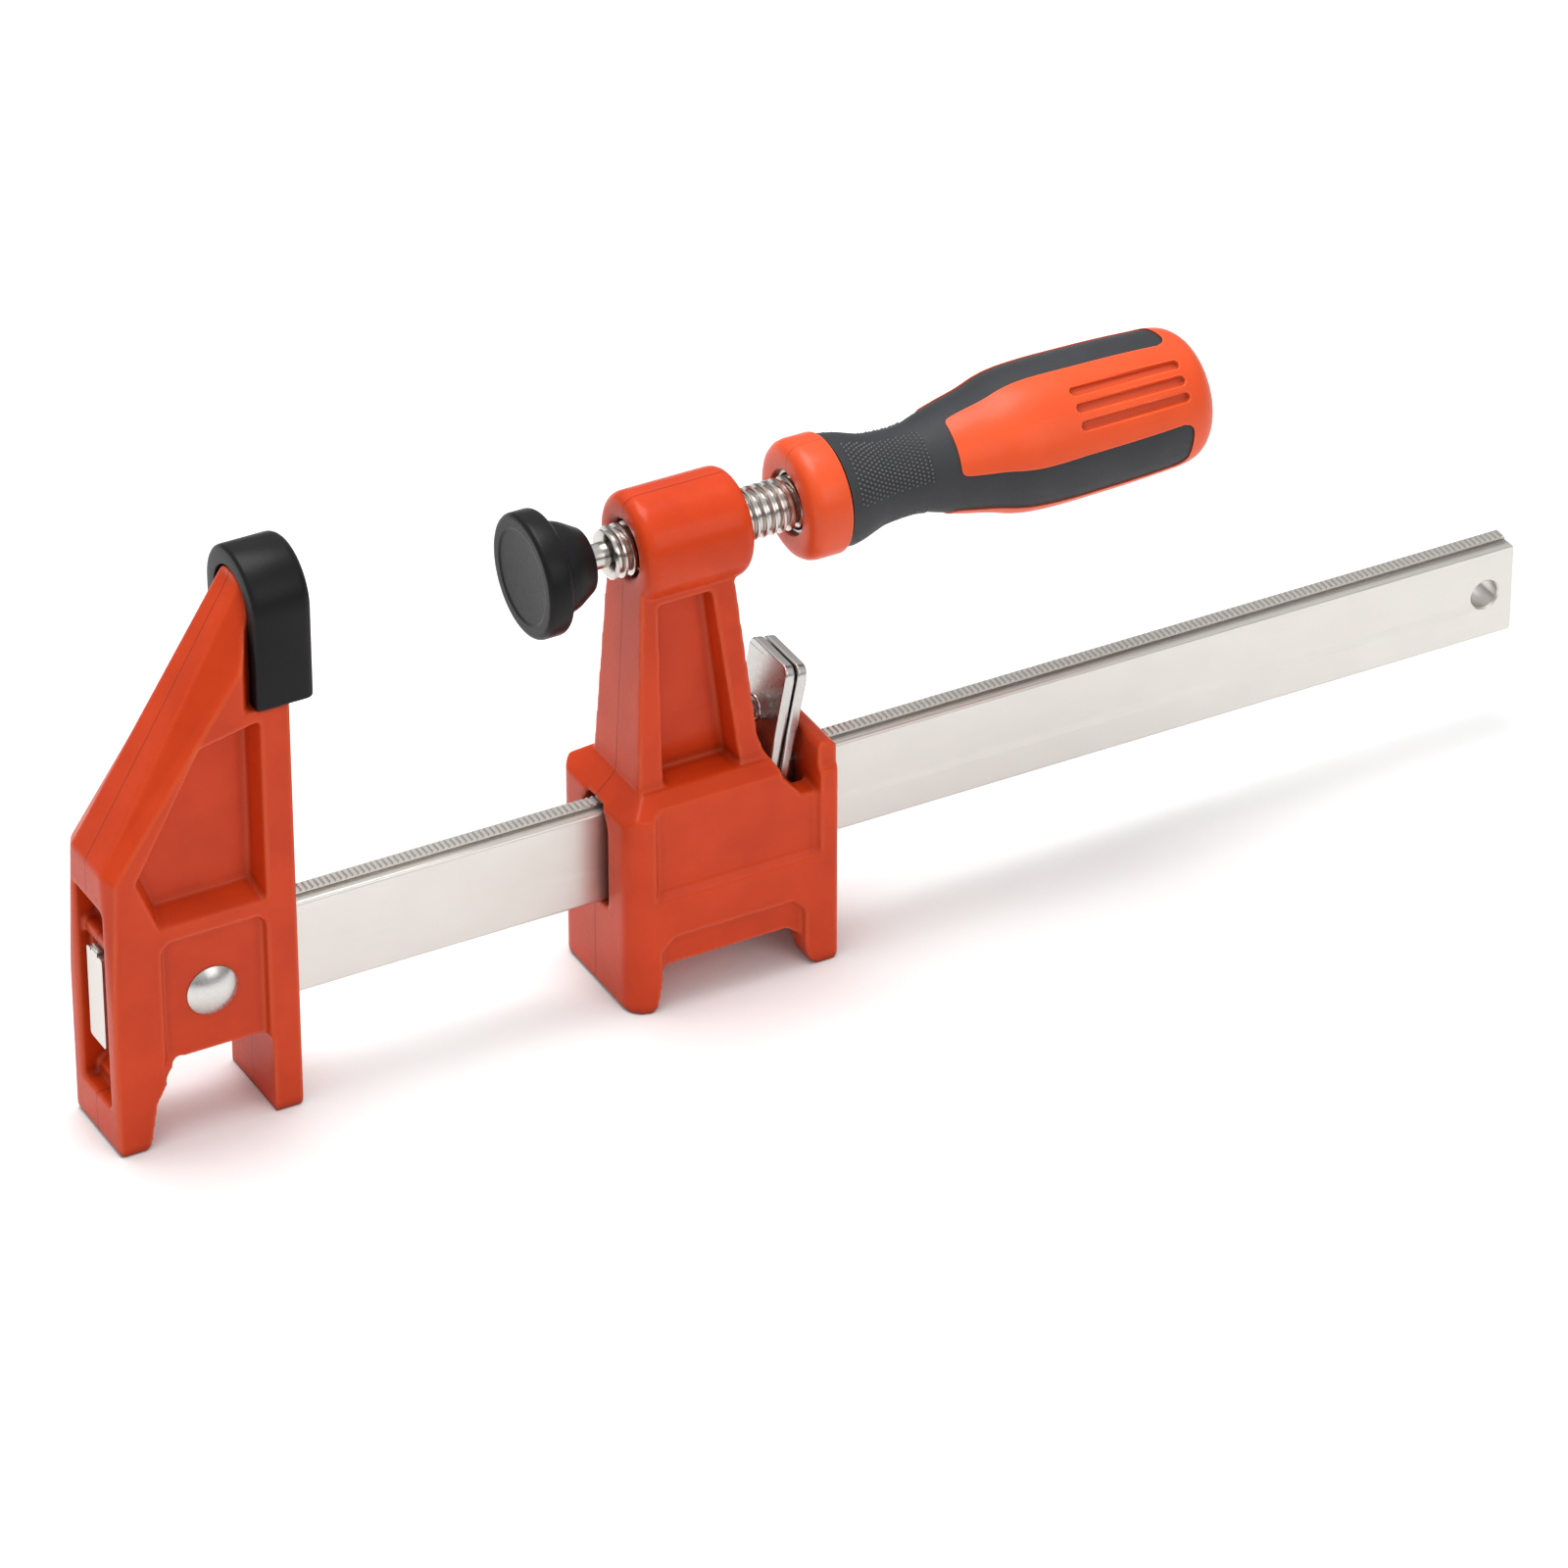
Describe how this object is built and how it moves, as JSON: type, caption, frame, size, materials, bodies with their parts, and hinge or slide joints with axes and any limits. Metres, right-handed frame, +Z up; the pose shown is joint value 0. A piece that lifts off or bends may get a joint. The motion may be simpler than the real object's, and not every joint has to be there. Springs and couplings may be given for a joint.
{
  "type": "quick release bar clamp",
  "caption": "Quick release bar clamp: serrated steel bar, riveted fixed jaw with soft cap, sliding jaw with clutch plates, screw, swivel pad and soft grip handle.",
  "frame": {"origin": "on the bench under the middle of the clamp's length, halfway between its sides", "axes": "+X runs along the bar from the fixed jaw to the bar's free end, +Z is up, the jaws stand on their feet at Z = 0"},
  "size_m": [0.4152, 0.04, 0.1595],
  "materials": {
    "bar_steel": "zinc plated, satin",
    "casting_paint": "glossy baked enamel over a casting",
    "rivet_steel": "bright",
    "soft_plastic": "satin, non-marring",
    "clutch_steel": "stamped, zinc plated",
    "spring_steel": "bright wire",
    "screw_steel": "rolled thread, zinc plated",
    "handle_plastic": "moulded, slight gloss",
    "grip_rubber": "matte soft overmould"
  },
  "bodies": {
    "bar_frame": {"bar": "bar_steel", "fixed_jaw": "casting_paint", "jaw_rivet": "rivet_steel", "jaw_cap": "soft_plastic"},
    "slider": {"sliding_jaw": "casting_paint", "clutch_spring": "spring_steel"},
    "front_clutch": {"clutch_plate_front": "clutch_steel"},
    "rear_clutch": {"clutch_plate_rear": "clutch_steel"},
    "screw_end": {"swivel_ring": "screw_steel"},
    "screw": {"screw_spindle": "screw_steel", "handle_collar": "handle_plastic", "collar_sleeve": "rivet_steel", "handle_core": "handle_plastic", "handle_grip": "grip_rubber"},
    "pad": {"swivel_pad": "soft_plastic", "pad_socket": "screw_steel"}
  },
  "joints": [
    {"name": "jaw_slide", "type": "slide", "parent": "bar_frame", "child": "slider", "axis": [1, 0, 0], "range_m": [-0.046, 0.2]},
    {"name": "clutch_front_tilt", "type": "hinge", "parent": "slider", "child": "front_clutch", "pos_m": [-0.0208, 0, 0.06], "axis": [0, -1, 0], "range_deg": [0, 11], "stiffness_Nm_per_rad": 0.5, "springref_deg": -5.73, "deforming": ["clutch_spring"]},
    {"name": "clutch_rear_tilt", "type": "hinge", "parent": "slider", "child": "rear_clutch", "pos_m": [-0.01727, 0, 0.05931], "axis": [0, -1, 0], "range_deg": [0, 11]},
    {"name": "screw_travel", "type": "slide", "parent": "slider", "child": "screw_end", "axis": [1, 0, 0], "range_m": [-0.015, 0.0095]},
    {"name": "screw_turn", "type": "hinge", "parent": "screw_end", "child": "screw", "pos_m": [-0.0763, 0, 0.1283], "axis": [1, 0, 0], "range_deg": [-2161, 1369]},
    {"name": "pad_tilt", "type": "hinge", "parent": "screw_end", "child": "pad", "pos_m": [-0.0763, 0, 0.1283], "axis": [0, 1, 0], "range_deg": [-8, 8]}
  ],
  "couplings": [
    {"joint": "clutch_rear_tilt", "follows": "clutch_front_tilt", "ratio": 1},
    {"joint": "screw_turn", "follows": "screw_travel", "rad_per_m": 2513.3}
  ]
}
